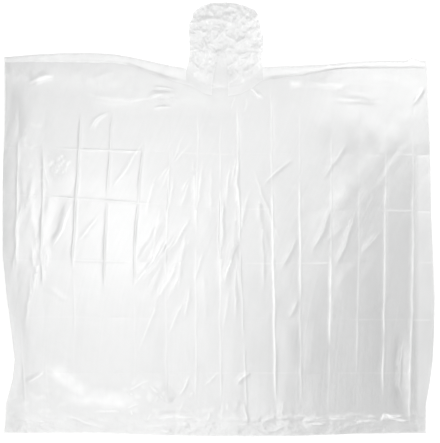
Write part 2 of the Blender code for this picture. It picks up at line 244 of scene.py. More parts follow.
def layFilm(name, x, drop, height, marks):
    # one film over rows and columns of places at the given heights, far too thin to show an edge
    rows, columns = x.shape[0] - 1, x.shape[1] - 1
    bpy.ops.object.select_all(action="DESELECT")
    bpy.ops.mesh.primitive_grid_add(x_subdivisions=columns, y_subdivisions=rows, size=2.0)
    film = bpy.context.object
    film.name = film.data.name = name
    mesh = film.data
    places = np.empty(len(mesh.vertices) * 3, np.float32)
    mesh.vertices.foreach_get("co", places)
    places = places.reshape(-1, 3)
    column = np.rint((places[:, 0] + 1.0) / 2.0 * columns).astype(int)
    row = np.rint((1.0 - places[:, 1]) / 2.0 * rows).astype(int)
    places[:, 0] = x[row, column] * mm
    places[:, 1] = (middleDrop - drop[row, column]) * mm
    places[:, 2] = height[row, column] * mm
    mesh.vertices.foreach_set("co", places.ravel())
    for markName, mark in marks.items():
        attribute = mesh.attributes.new(markName, "FLOAT", "POINT")
        attribute.data.foreach_set("value", mark[row, column].astype(np.float32))
    corners = np.empty(len(mesh.loops), np.int32)
    mesh.loops.foreach_get("vertex_index", corners)
    slant = grainLean["most"] * np.tanh((drop - grainLean["middleDrop"]) / grainLean["spread"])
    grain = np.stack(((x + slant)[row, column], drop[row, column]), 1)[corners] * mm
    layer = mesh.uv_layers[0]
    layer.name = "grain"
    layer.data.foreach_set("uv", grain.astype(np.float32).ravel())
    mesh.update()
    bpy.ops.object.shade_smooth_by_angle(angle=smoothAngle)
    return film


def dress(film, material, node):
    film.data.materials.append(material)
    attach(film, "root")
    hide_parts(node)
    print(film.name + ":", len(film.data.polygons), "faces")


# Shared effects

def newGroup(name, inputs, outputs):
    group = bpy.data.node_groups.new(name, "ShaderNodeTree")
    for socketName, kind, value in inputs:
        socket = group.interface.new_socket(socketName, in_out="INPUT", socket_type=kind)
        if value is not None:
            socket.default_value = value
    for socketName, kind in outputs:
        group.interface.new_socket(socketName, in_out="OUTPUT", socket_type=kind)
    return group, group.nodes.new("NodeGroupInput"), group.nodes.new("NodeGroupOutput")


def addNode(tree, kind, values=None, **settings):
    node = tree.nodes.new(kind)
    for setting, value in settings.items():
        setattr(node, setting, value)
    for socket, value in (values or {}).items():
        node.inputs[socket].default_value = value
    return node


def mathNode(tree, operation, first, second):
    node = addNode(tree, "ShaderNodeMath", operation=operation)
    for socket, value in zip(node.inputs, (first, second)):
        if isinstance(value, (int, float)):
            socket.default_value = value
        else:
            tree.links.new(value, socket)
    return node.outputs[0]


def mixNode(tree, first, second, share):
    node = addNode(tree, "ShaderNodeMix", data_type="RGBA")
    for socket, value in ((node.inputs["A"], first), (node.inputs["B"], second)):
        if isinstance(value, tuple):
            socket.default_value = value
        else:
            tree.links.new(value, socket)
    tree.links.new(share, node.inputs["Factor"])
    return node.outputs["Result"]


noiseMiddle = 0.5  # a noise texture swings about this
wrinkleMiddle = 0.08  # the drawn-out creases' mean height


def makeFineWrinkles():
    # drawn-out creases that follow the grain, with loose dents between them
    group, given, put = newGroup(
        "fineWrinkles",
        (("Grain", "NodeSocketVector", None), ("Place", "NodeSocketVector", None),
         ("Streak", "NodeSocketFloat", 1.0), ("Dent", "NodeSocketFloat", 1.0),
         ("Crushed", "NodeSocketFloat", 0.0)),
        (("Height", "NodeSocketFloat"), ("Cloud", "NodeSocketFloat"), ("Streaks", "NodeSocketFloat")),
    )
    link = group.links.new
    stretch = addNode(group, "ShaderNodeMapping", {"Scale": (50.0, 3.2, 1.0)})
    link(given.outputs["Grain"], stretch.inputs["Vector"])
    streak = addNode(
        group, "ShaderNodeTexNoise", {"Scale": 1.0, "Detail": 1.0, "Roughness": 0.5, "Distortion": 0.3}
    )
    link(stretch.outputs["Vector"], streak.inputs["Vector"])
    ridge = mathNode(group, "ABSOLUTE", mathNode(group, "SUBTRACT", streak.outputs[0], noiseMiddle), 0.0)
    link(mathNode(group, "SUBTRACT", ridge, wrinkleMiddle), put.inputs["Streaks"])
    streaks = mathNode(group, "MULTIPLY", ridge, given.outputs["Streak"])
    dent = addNode(
        group, "ShaderNodeTexNoise", {"Scale": 30.0, "Detail": 2.0, "Roughness": 0.5, "Distortion": 0.6}
    )
    link(given.outputs["Place"], dent.inputs["Vector"])
    dents = mathNode(group, "MULTIPLY", dent.outputs[0], given.outputs["Dent"])
    crush = addNode(group, "ShaderNodeTexVoronoi", {"Scale": 75.0, "Detail": 1.0}, feature="F1")
    link(given.outputs["Place"], crush.inputs["Vector"])
    crushes = mathNode(group, "MULTIPLY", crush.outputs["Distance"], given.outputs["Crushed"])
    height = mathNode(group, "ADD", mathNode(group, "SUBTRACT", dents, streaks), crushes)
    link(height, put.inputs["Height"])
    cloud = addNode(group, "ShaderNodeTexNoise", {"Scale": 7.0, "Detail": 4.0, "Roughness": 0.6})
    link(given.outputs["Place"], cloud.inputs["Vector"])
    link(cloud.outputs[0], put.inputs["Cloud"])
    return group


def makeCrestLine():
    # a painted highlight along a crest with a painted shadow beside it
    group, given, put = newGroup(
        "crestLine",
        (("Distance", "NodeSocketFloat", 0.0), ("Rise", "NodeSocketFloat", 0.0)),
        (("Pale", "NodeSocketFloat"), ("Dim", "NodeSocketFloat")),
    )
    for name, middle, halfWidth in (("Pale", 0.0, 6.5), ("Dim", 6.5, 3.2)):
        aside = mathNode(group, "SUBTRACT", given.outputs["Distance"], middle)
        aside = mathNode(group, "DIVIDE", mathNode(group, "ABSOLUTE", aside, 0.0), halfWidth)
        line = mathNode(group, "MAXIMUM", mathNode(group, "SUBTRACT", 1.0, aside), 0.0)
        line = mathNode(group, "POWER", line, 1.2)
        group.links.new(mathNode(group, "MULTIPLY", line, given.outputs["Rise"]), put.inputs[name])
    return group


fineWrinkles = makeFineWrinkles()
crestLine = makeCrestLine()


def readMark(tree, name):
    return addNode(tree, "ShaderNodeAttribute", attribute_name=name).outputs["Fac"]


def filmMaterial(name, look):
    material = bpy.data.materials.new(name)
    material.use_nodes = True
    tree = material.node_tree
    link = tree.links.new
    film = tree.nodes["Principled BSDF"]
    place = addNode(tree, "ShaderNodeTexCoord")
    grain = addNode(tree, "ShaderNodeUVMap", uv_map="grain")
    wrinkles = addNode(tree, "ShaderNodeGroup", node_tree=fineWrinkles)
    wrinkles.inputs["Streak"].default_value = look["streak"]
    wrinkles.inputs["Dent"].default_value = look["dent"]
    link(grain.outputs["UV"], wrinkles.inputs["Grain"])
    link(place.outputs["Object"], wrinkles.inputs["Place"])
    bump = addNode(tree, "ShaderNodeBump", {"Strength": 1.0, "Distance": look["bump"]})
    link(wrinkles.outputs["Height"], bump.inputs["Height"])
    link(bump.outputs["Normal"], film.inputs["Normal"])
    crease = readMark(tree, "crease")
    crushed = readMark(tree, "crushed")
    link(mathNode(tree, "MULTIPLY", crushed, look["crush"]), wrinkles.inputs["Crushed"])
    crest = addNode(tree, "ShaderNodeGroup", node_tree=crestLine)
    for socket, mark in (("Distance", "crest"), ("Rise", "crestRise")):
        link(readMark(tree, mark), crest.inputs[socket])
    # painted shade, with the painted shadow beside each crest line
    shade = readMark(tree, "shade")
    dim = mathNode(tree, "MULTIPLY", crest.outputs["Dim"], look["crestDim"])
    dim = mathNode(tree, "MAXIMUM", shade, dim)
    # painted highlights, with the painted highlight along each crest line
    paintedHighlight = readMark(tree, "paintedHighlight")
    pale = mathNode(tree, "MULTIPLY", crest.outputs["Pale"], look["crestPale"])
    pale = mathNode(tree, "MAXIMUM", paintedHighlight, pale)
    # the creases are paler, partly the creased film's whitening and partly painted highlight; painted shade
    # and painted highlights then darken and whiten the tone
    tone = mixNode(tree, look["colour"], look["creaseColour"], crease)
    tone = mixNode(tree, tone, look["shadeColour"], dim)
    tone = mixNode(tree, tone, look["highlightColour"], pale)
    link(tone, film.inputs["Base Color"])
    haze = look["haze"]
    for mark, part in ((crease, "creaseHaze"), (dim, "shadeHaze"), (pale, "highlightHaze")):
        haze = mathNode(tree, "ADD", mathNode(tree, "MULTIPLY", mark, look[part]), haze)
    uneven = mathNode(tree, "SUBTRACT", wrinkles.outputs["Cloud"], noiseMiddle)
    haze = mathNode(tree, "ADD", haze, mathNode(tree, "MULTIPLY", uneven, look["cloud"]))
    streaked = mathNode(tree, "MULTIPLY", wrinkles.outputs["Streaks"], look["streakHaze"])
    haze = mathNode(tree, "ADD", haze, streaked)
    link(haze, film.inputs["Alpha"])
    clouded = mathNode(tree, "MULTIPLY", wrinkles.outputs["Cloud"], look["cloudRoughness"])
    link(mathNode(tree, "ADD", clouded, look["roughness"]), film.inputs["Roughness"])
    worn = mathNode(tree, "MULTIPLY", crease, look["creaseWear"])
    link(mathNode(tree, "SUBTRACT", look["coat"], worn), film.inputs["Coat Weight"])
    film.inputs["Coat Roughness"].default_value = look["coatRoughness"]
    film.inputs["Coat IOR"].default_value = look["coatIor"]
    film.inputs["Specular IOR Level"].default_value = look["gloss"]
    film.inputs["IOR"].default_value = look["ior"]
    return material


# Packing creases: x at the shoulder, the middle and the hem
downCreases = (
    (-540, -552, -520), (-467, -483, -459), (-366, -396, -385), (-281, -311, -306), (-188, -229, -227),
    (-120, -142, -142), (-52, -60, -60), (8, 5, 8), (50, 60, 82), (142, 150, 161),
    (221, 224, 227), (309, 309, 300), (385, 385, 374), (459, 456, 448), (532, 532, 521),
)
# which down crease, from drop, to drop, rise
downStretches = (
    (0, 190, 580, 1.6), (0, 700, 960, 0.4), (1, 240, 620, 1.8), (1, 800, 960, 0.5), (2, 130, 570, 2.3),
    (2, 560, 760, 0.4), (3, 120, 380, 1.6), (3, 360, 620, 2.1), (4, 190, 620, 2.1), (4, 620, 900, 0.4),
    (5, 200, 620, 0.9), (5, 600, 930, 0.6), (6, 120, 480, 0.7), (6, 480, 930, 0.6), (7, 140, 340, 0.5),
    (7, 330, 560, 1.7), (7, 560, 940, 0.6), (8, 110, 330, 1.3), (8, 320, 500, 1.7), (8, 490, 760, 1.0),
    (8, 750, 960, 0.8), (9, 60, 350, 0.9), (9, 320, 940, 2.2), (10, 120, 330, 0.5), (10, 310, 660, 1.9),
    (10, 640, 940, 0.8), (11, 180, 560, 0.7), (11, 500, 780, 1.9), (11, 760, 960, 0.7),
    (12, 240, 400, 0.4), (12, 320, 860, 0.8), (13, 230, 360, 0.9), (13, 300, 920, 1.9),
    (14, 200, 340, 1.2), (14, 280, 1000, 1.7),
)
# drop at the left side, the middle and the right side
crossCreases = ((226, 246, 249), (352, 395, 402), (532, 545, 542), (690, 694, 699), (843, 843, 843))
# which cross crease, from x, to x, rise
crossStretches = (
    (0, -470, -180, 1.5), (0, -120, 60, 0.2), (0, 480, 545, 0.8), (1, -500, -150, 1.7), (1, 40, 150, 0.3),
    (1, 440, 545, 0.9), (2, -410, -225, 1.4), (2, 215, 315, 1.1), (2, 545, 588, 1.0), (2, 60, 190, 0.25),
    (3, 520, 586, 1.0), (3, 340, 530, 0.3), (3, -560, -300, 0.2), (4, -60, 250, 0.2), (4, 300, 560, 0.2),
)

# Loose folds: x, drop, end x, end drop, sideways bow, half width, rise
frontFolds = (
    # left shoulder and yoke
    (-520, 58, -450, 34, 4, 10, 1.8), (-362, 78, -186, 76, -24, 12, 1.8), (-191, 80, -112, 74, -4, 10, 2.4),
    (-350, 186, -290, 128, 12, 10, 2.4), (-185, 122, -120, 118, 2, 8, 2.4),
    # left chest, slanting down from the middle
    (-200, 200, -292, 348, 3, 12, 2.4), (-396, 368, -456, 512, 6, 15, 2.6),
    (-322, 408, -386, 486, 3, 10, 2.4), (-468, 600, -396, 646, -8, 12, 1.15),
    (-505, 300, -532, 420, 4, 11, 2.4), (-508, 400, -492, 548, 3, 10, 1.6),
    # middle
    (-70, 250, -62, 400, 0, 10, 1.6), (-120, 300, -142, 430, 0, 10, 1.6),
    (-142, 462, -236, 610, 8, 10, 3.2), (-72, 408, -140, 516, 4, 10, 2.4),
    (-88, 455, -112, 620, 0, 10, 2.4), (12, 340, 8, 534, 0, 12, 3.2),
    (66, 470, 14, 606, -6, 12, 4), (52, 190, 60, 430, -5, 10, 2.4), (116, 380, 124, 640, 2, 9, 1.6),
    # right, fanning down from the shoulder's end
    (80, 64, 122, 100, 3, 9, 5), (-182, 66, -112, 70, 2, 9, 2.8), (-192, 88, -122, 84, 2, 9, 2.8),
    (222, 62, 372, 66, 0, 12, 1.2), (298, 104, 460, 106, 3, 10, 1.4),
    (206, 258, 120, 336, -6, 12, 2.5), (350, 212, 280, 316, 4, 14, 2.5), (216, 462, 164, 568, 4, 13, 2.5),
    (318, 366, 248, 526, 5, 13, 2.6), (380, 376, 312, 566, 6, 13, 3), (505, 116, 276, 416, 14, 36, 1.6),
    (528, 190, 386, 380, 10, 24, 2.4), (566, 58, 524, 118, 3, 11, 2.4), (444, 450, 388, 516, 4, 15, 2.2),
    (216, 640, 192, 694, 2, 10, 2), (512, 730, 500, 925, -10, 15, 4),
    # the crumpled hem
    (-468, 832, -524, 874, 3, 10, 2.4), (-470, 830, -386, 908, 6, 15, 1.8),
    (-392, 902, -248, 944, -5, 16, 1.6), (-404, 860, -352, 916, 2, 12, 1.6),
    (-250, 898, -182, 860, 3, 10, 2), (-272, 950, -204, 924, 3, 10, 2),
    (-188, 872, -142, 922, 0, 12, 2.4), (-108, 912, -74, 846, 0, 11, 2.4), (-38, 880, 2, 838, 0, 10, 1.6),
    (46, 878, 92, 838, 3, 12, 3.2), (66, 912, 82, 992, 0, 10, 2.4), (226, 980, 296, 964, 3, 10, 3.2),
    (312, 970, 424, 976, 3, 10, 3.2), (448, 956, 526, 980, 4, 10, 4.8), (-560, 968, -428, 984, 3, 10, 1.8),
    (-432, 956, -318, 994, 3, 10, 1.8), (-186, 972, -48, 962, 3, 10, 2.4),
    (534, 930, 552, 1004, 2, 10, 3.2),
    (232, 973, 268, 970, 0, 8, 4.8), (245, 985, 296, 984, 2, 8, 4.0), (330, 966, 384, 968, 2, 8, 4.8),
    (370, 974, 424, 976, -2, 8, 4.8), (446, 956, 490, 967, 2, 8, 6.4), (482, 966, 528, 976, -3, 8, 6.4),
    (-250, 886, -232, 908, 0, 7, 3.0), (-240, 940, -236, 958, 0, 7, 3.0), (-345, 948, -246, 950, 3, 9, 2.0),
)
# broad slopes, each with the widths on its two sides
frontFacets = (
    (-520, 862, -335, 958, 8, (34, 78), 1.6), (-350, 945, -215, 950, 3, (20, 46), 1.3),
    (-470, 829, -530, 876, 3, (10, 12), 1.0), (-474, 826, -420, 868, 3, (12, 10), 1.2),
    (528, 690, 522, 968, 0, (36, 6), 3), (-185, 950, -60, 945, 4, (10, 34), 2),
    (-180, 870, -120, 938, 4, (16, 26), 3), (505, 116, 276, 430, 14, (70, 60), 1.3),
    (470, 200, 330, 470, 10, (40, 40), 1.1), (300, 80, 455, 96, 3, (20, 30), 1.2),
    (215, 58, 372, 62, 0, (24, 20), 0.6), (-96, 430, -232, 620, 8, (9, 22), 1.6),
    (-140, 400, -236, 560, 6, (9, 18), 1.2), (62, 440, 8, 640, -8, (10, 26), 1.6),
    (-362, 80, -186, 78, -24, (12, 22), 0.8), (-456, 330, -500, 520, 6, (12, 24), 1.4),
    (-404, 360, -458, 510, 6, (14, 26), 1.8), (-515, 55, -446, 32, 4, (12, 18), 1.4),
)
# pale patches, where the film catches the light: x, drop, end x, end drop, bow, half widths, strength
frontGlints = (
    (-486, 818, -322, 938, 4, (18, 34), 0.42), (-404, 866, -350, 912, 0, (8, 14), 0.45),
    (-440, 912, -190, 934, 4, (20, 36), 0.4), (-330, 902, -240, 938, 2, (14, 12), 0.38),
    (516, 716, 519, 1000, 0, (16, 20), 0.5), (190, 54, 236, 54, 0, (13, 12), 0.45),
    (228, 54, 372, 66, 0, (12, 10), 0.3), (290, 100, 466, 106, 3, (9, 9), 0.26),
    (590, 40, 180, 510, 14, (34, 34), 0.3), (535, 165, 370, 395, 8, (12, 12), 0.22),
    (560, 60, 536, 104, 0, (8, 8), 0.5), (-526, 58, -440, 32, 4, (6, 7), 0.8),
    (-390, 72, -90, 62, -34, (6, 9), 0.35), (-340, 186, -292, 130, 10, (7, 8), 0.25),
    (380, 40, 575, 50, 0, (20, 24), 0.1), (600, 150, 400, 390, 0, (80, 70), 0.16),
    (-545, 130, -540, 600, 0, (60, 130), 0.12), (284, 969, 366, 964, 0, (5, 5), 0.6),
    (-430, 86, 130, 98, 0, (46, 56), 0.15), (-640, 22, 60, 62, -8, (44, 44), 0.14),
    (362, 972, 446, 975, 0, (6, 6), 0.8), (440, 979, 456, 950, 0, (5, 5), 0.7),
    (448, 952, 524, 977, -3, (7, 7), 1.0), (216, 976, 312, 968, 0, (5, 5), 0.6),
    (-400, 262, -415, 284, 0, (5, 5), 0.5), (-414, 256, -441, 288, 2, (5, 5), 0.55),
    (-408, 274, -425, 304, 0, (5, 5), 0.5), (-428, 277, -445, 303, 0, (5, 5), 0.45),
    (-421, 246, -439, 268, 0, (5, 5), 0.4), (-447, 260, -461, 282, 0, (7, 8), 0.5),
    (531, 290, 522, 1010, 0, (8, 8), 0.3), (149, 330, 156, 930, 0, (5, 5), 0.35),
    (309, 520, 306, 780, 0, (6, 6), 0.4),
)
# painted shade patches, in the same columns
frontDims = (
    (488, 700, 488, 985, 0, (16, 18), 0.5), (530, 172, 350, 370, 10, (16, 20), 0.16),
    (440, 165, 320, 268, 6, (22, 18), 0.2), (-50, 88, 74, 88, 14, (6, 7), 0.2),
    (-170, 690, -160, 960, 6, (26, 30), 0.12), (-560, 60, -560, 180, 0, (26, 26), 0.12),
    (486, 818, 488, 836, 0, (7, 7), 0.9), (225, 520, 235, 980, 0, (90, 130), 0.17),
    (90, 500, 120, 960, 0, (90, 90), 0.22), (430, 520, 430, 960, 0, (60, 40), 0.2),
)
# x, drop and half sizes of the patches that are finely crushed
crushedPatches = ((-424, 276, 42, 46), (-150, 95, 50, 26))
# x, drop and half sizes of the patches strewn with pale flecks of painted highlight
fleckPatches = ((-500, 935, 100, 66), (-205, 905, 75, 66), (-500, 250, 56, 100), (-60, 965, 170, 36))
# how many, region (x, drop, end x, end drop), lean from straight down, lengths, half widths, rises, seed
looseStrands = (
    (12, (-560, 200, -470, 560), 0.02, (70, 190), (9, 13), (1.2, 2.2), 41),
    (5, (-460, 330, -380, 620), -0.35, (50, 110), (10, 15), (0.5, 1.1), 42),
    (5, (-380, 180, -200, 560), -0.6, (50, 110), (12, 18), (0.3, 0.8), 43),
    (15, (-180, 170, -50, 640), -0.45, (80, 220), (10, 15), (1.0, 2.4), 44),
    (15, (-60, 190, 120, 640), -0.05, (90, 250), (9, 14), (1.0, 2.4), 45),
    (6, (-330, 80, 120, 150), -0.3, (40, 90), (10, 15), (0.6, 1.6), 46),
    (11, (150, 260, 500, 620), -0.62, (70, 200), (12, 20), (0.5, 1.1), 47),
    (12, (-200, 620, 300, 920), -0.02, (60, 170), (11, 17), (0.3, 0.8), 48),
    (6, (-470, 640, -180, 860), -0.2, (50, 120), (14, 22), (0.2, 0.6), 49),
    (8, (-160, 890, 200, 960), -0.5, (40, 90), (10, 15), (0.6, 1.4), 50),
    (7, (-570, 950, -420, 1000), -1.0, (24, 50), (8, 12), (0.6, 1.5), 51),
    (12, (-300, 955, 220, 1000), 1.4, (24, 60), (8, 12), (0.8, 1.8), 52),
    (10, (-180, 885, 60, 980), -0.4, (20, 50), (8, 12), (0.8, 1.8), 53),
)
# size and seed of the front's lumps
frontLumps = {
    "bend": (42.0, 7), "fineBend": (17.0, 9), "dropBend": (46.0, 11), "hemLine": (120.0, 51),
    "yokeLine": (90.0, 53), "sway": (190.0, 61), "fineSway": (75.0, 62), "puff": (110.0, 31),
    "hemShade": (60.0, 57), "ridgeLine": (110.0, 58), "ridgeBreaks": (34.0, 59), "glints": (26.0, 63),
    "sideStrip": (70.0, 66), "flecks": (19.0, 65), "hemPale": (48.0, 64),
}
frontPanel = {
    "base": 2.1,
    "creaseHalfWidth": 4.2,
    "creaseLines": (1.9, 4.2),
    "columnParts": (8, 13, 16, 15, 15, 23, 20, 17, 14, 21, 16, 15, 15, 14, 15, 10),
    "rowParts": (5, 32, 34, 44, 44, 34, 24, 33, 20),
    "edgeInset": (2.6, 1.8, 74.0),  # how far the edges lie in, how much that waves, and its length
    "bend": 3.0,  # how far folds wander aside, in broad and fine bends
    "fineBend": 1.2,
    "foldShare": 0.45,  # of a loose fold's rise
    "creaseShare": 0.6,  # of a pressed crease's rise, and what it loses on the right
    "rightLoss": 0.25,
    "hemCrumple": {"drop": 935.0, "rise": 1.5, "squeeze": 1.5, "size": 46.0, "seed": 52},
    "yokeCrumple": {"drop": 70.0, "rise": 1.6, "squeeze": 1.3, "size": 45.0, "seed": 54},
    "crumpleWander": 30.0,
    "crumpleRun": 60.0,
    "puff": 0.9,
    "sway": 0.7,
    "fineSway": 0.35,
    "billow": 2.0,  # the middle's height over the side edges, and how far in that takes
    "billowRun": 60.0,
    "settle": 0.4,
    "underSeam": 2.0,  # the film starts to rise this far above the seam's lower edge
    "creaseRun": 46.0,  # creases and swells come in over these below the seam
    "looseRun": 150.0,
    "least": -0.2,
    "hemRidge": {"above": 46.0, "wander": 9.0, "halfWidth": 9.0, "rise": 0.6, "rightRise": 2.4},
}
# strengths of the front's painted shade and painted highlights, and of its crease mark
frontTones = {
    "hemShade": 0.12, "leftShade": 0.2, "rightShade": 0.1, "crossShade": 0.16, "downShade": 0.1,
    "sideStrip": 0.6, "flecks": 0.22, "hemPale": 0.12, "hemPaleRight": 0.1,
    "fullCrease": 2.3, "leftCreaseLoss": 0.6,
}
# shadeColour and shadeHaze make the painted shade; the next colour and haze make the painted highlights
filmLook = {
    "colour": (0.577, 0.58, 0.58, 1.0), "creaseColour": (0.907, 0.91, 0.91, 1.0),
    "shadeColour": (0.307, 0.31, 0.31, 1.0), "shadeHaze": 0.20,
    "highlightColour": (0.977, 0.98, 0.98, 1.0), "highlightHaze": 0.22, "crestPale": 0.5, "crestDim": 0.35,
    "haze": 0.44, "creaseHaze": 0.08, "cloud": 0.06, "roughness": 0.24, "gloss": 0.9,
    "coat": 1.0, "coatRoughness": 0.16, "streak": 0.25, "streakHaze": 0.05, "dent": 0.2, "crush": 0.3,
    "bump": 0.003, "cloudRoughness": 0.16, "creaseWear": 0.7, "ior": 1.56, "coatIor": 1.52,
}
# how unevenly the packing pressed: how far creases wander, over what length, and how their rise varies
pressing = {
    "wander": 2.0, "wanderSize": 66.0, "wanderSeed": 3,
    "down": {"run": 60.0, "runShare": 0.3, "mean": 0.95, "swing": 0.5, "least": 0.3, "size": 70.0, "seed": 5},
    "cross": {"runShare": 0.25, "mean": 0.85, "swing": 0.8, "least": 0.2, "size": 60.0, "seed": 8},
    "most": 1.3,
}


def creaseX(crease, drop):
    straight = np.interp(drop, (0.0, garment["length"] / 2, garment["length"]), crease)
    lumpsAlong = softNoise(0.0 * drop + crease[0], drop, pressing["wanderSize"], pressing["wanderSeed"])
    return straight + pressing["wander"] * lumpsAlong


def crossDrop(crease, x):
    return np.interp(x, (-garment["span"], 0.0, garment["span"]), crease)


def lumps(name, x, drop):
    return softNoise(x, drop, *frontLumps[name])


def inPatch(patch, reach, x, drop):
    # 1 well inside an oval patch, running out to 0
    patchX, patchDrop, across, down = patch
    return smooth(reach - (((x - patchX) / across) ** 2 + ((drop - patchDrop) / down) ** 2))


def edgeInset(place):
    depth, wave, length = frontPanel["edgeInset"]
    return depth + wave * np.sin(place / length)


def bodyGrid(creases, settings, topRow, inset):
    # rows and columns of places whose lines follow the packing creases
    nominal = [garment["topLine"], garment["seamLine"], garment["yokeLine"]]
    nominal += [crease[1] for crease in crossCreases]
    nominal += [garment["hemFoldLine"], garment["length"]]
    rowLines = [nominal[0]]
    for start, end, parts in zip(nominal[:-1], nominal[1:], settings["rowParts"]):
        rowLines += list(stops([start, end], settings["creaseLines"], (parts,)))[1:]
    rowLines = np.array(rowLines)
    x = []
    for level in rowLines:
        left, right = readPair(garment["sides"], level)
        inner = [creaseX(crease, level) for crease in creases]
        bounds = [left + inset(level), *inner, right - inset(level)]
        x.append(stops(bounds, settings["creaseLines"], settings["columnParts"]))
    x = np.array(x)
    drop = np.empty_like(x)
    hem = readOff(garment["hem"], x, 1) - inset(x)
    bounds = [*topRow(x), np.full_like(x, garment["yokeLine"])]
    bounds += [crossDrop(crease, x) for crease in crossCreases]
    bounds = np.array(bounds + [np.full_like(x, garment["hemFoldLine"]), hem])
    for row in range(len(rowLines)):
        for column in range(x.shape[1]):
            drop[row, column] = np.interp(rowLines[row], nominal, bounds[:, row, column])
    return x, drop


def pressed(way, x, drop):
    # a crease's share of its rise along its length
    varied = way["mean"] + way["swing"] * softNoise(x, drop, way["size"], way["seed"])
    return np.clip(varied, way["least"], pressing["most"])


def creaseLift(creases, settings, x, drop):
    # the sharp lines left by the packing, uneven along their length: those down and those across
    lifts = np.zeros((2, *x.shape))
    down, cross = pressing["down"], pressing["cross"]
    for number, start, end, rise in downStretches:
        run = min(down["run"], down["runShare"] * (end - start))
        share = smooth(np.minimum(drop - start, end - drop) / run)
        share = share * pressed(down, x * 0.0 + 90.0 * number, drop)
        aside = (x - creaseX(creases[number], drop)) / settings["creaseHalfWidth"]
        lifts[0] = np.maximum(lifts[0], rise * share * sharpProfile(aside))
    for number, start, end, rise in crossStretches:
        share = smooth(np.minimum(x - start, end - x) / (cross["runShare"] * (end - start)))
        share = share * pressed(cross, x, drop * 0.0 + 70.0 * number)
        aside = (drop - crossDrop(crossCreases[number], x)) / settings["creaseHalfWidth"]
        lifts[1] = np.maximum(lifts[1], rise * share * sharpProfile(aside))
    return lifts


def bulge(bounds, value, power=1.0):
    # 0 at each bound and 1 halfway between
    lift = np.zeros_like(value)
    for start, end in zip(bounds[:-1], bounds[1:]):
        share = np.clip((value - start) / (end - start), 0.0, 1.0)
        lift = np.maximum(lift, np.sin(math.pi * share) ** power)
    return lift


def panelPuff(creases, x, drop):
    # the film stands a little proud between its creases
    bounds = [np.full_like(x, -garment["span"])] + [creaseX(crease, drop) for crease in creases]
    across = bulge(bounds + [np.full_like(x, garment["span"])], x)
    levels = [np.full_like(x, garment["seamLine"])] + [crossDrop(crease, x) for crease in crossCreases]
    down = bulge(levels + [np.full_like(x, garment["length"])], drop, 0.5)
    return across * down * (0.5 + 0.9 * lumps("puff", x, drop))


def frontTop(x):
    return readPair(garment["top"], x)


def backTop(x):
    edge, seam = readPair(garment["top"], x)
    left, right = garment["neck"]
    straight = np.interp(x, (left, right), readOff(garment["top"], (left, right), 1))
    edge = np.where((x > left) & (x < right), straight, edge)
    corner = np.interp(x, *zip(*garment["corner"]))
    return edge - corner, seam


def crumpled(name, share, x, drop):
    # the height of a crumpled stretch, a little squeezed along the drop
    way = frontPanel[name]
    return way["rise"] * share * crumple(x, way["squeeze"] * drop, way["size"], way["seed"])


def frontShade(x, drop, hemGap, downLines, crossLines):
    # painted shade: along the hem and the side edges, and in the creases on the left
    flecks = 0.6 + 0.9 * lumps("hemShade", x, drop)
    shade = frontTones["hemShade"] * fade(24.0, 14.0, hemGap) * np.clip(flecks, 0.0, 1.0)
    left, right = readPair(garment["sides"], drop)
    leftShade = frontTones["leftShade"] * fade(18.0, 10.0, x - left) * fade(760.0, 200.0, drop)
    shade = np.maximum(shade, leftShade)
    shade = np.maximum(shade, frontTones["rightShade"] * fade(14.0, 9.0, right - x))
    shade = np.maximum(shade, frontTones["crossShade"] * crossLines * fade(-40.0, 120.0, x))
    return np.maximum(shade, frontTones["downShade"] * downLines * fade(-60.0, 120.0, x))


def frontHighlights(x, drop, hemGap, glints):
    # painted highlights: the placed glints, the strip beside the right edge, flecks and the hem
    paintedHighlight = glints * np.clip(1.0 + 0.4 * lumps("glints", x, drop), 0.2, 1.3)
    sideStrip = ramp(532.0, 18.0, x) * ramp(150.0, 170.0, drop)
    sideStrip = frontTones["sideStrip"] * sideStrip * (1.0 + 0.15 * lumps("sideStrip", x, drop))
    paintedHighlight = np.maximum(paintedHighlight, sideStrip)
    flecks = frontTones["flecks"] * np.clip(1.5 * lumps("flecks", x, drop) - 0.15, 0.0, 1.0)
    for patch in fleckPatches:
        paintedHighlight = np.maximum(paintedHighlight, flecks * inPatch(patch, 1.2, x, drop))
    hemPale = frontTones["hemPale"] + frontTones["hemPaleRight"] * ramp(100.0, 200.0, x)
    hemPale = hemPale * np.clip(0.9 + 0.8 * lumps("hemPale", x, drop), 0.2, 1.6)
    return np.maximum(paintedHighlight, hemPale * fade(60.0, 24.0, hemGap))


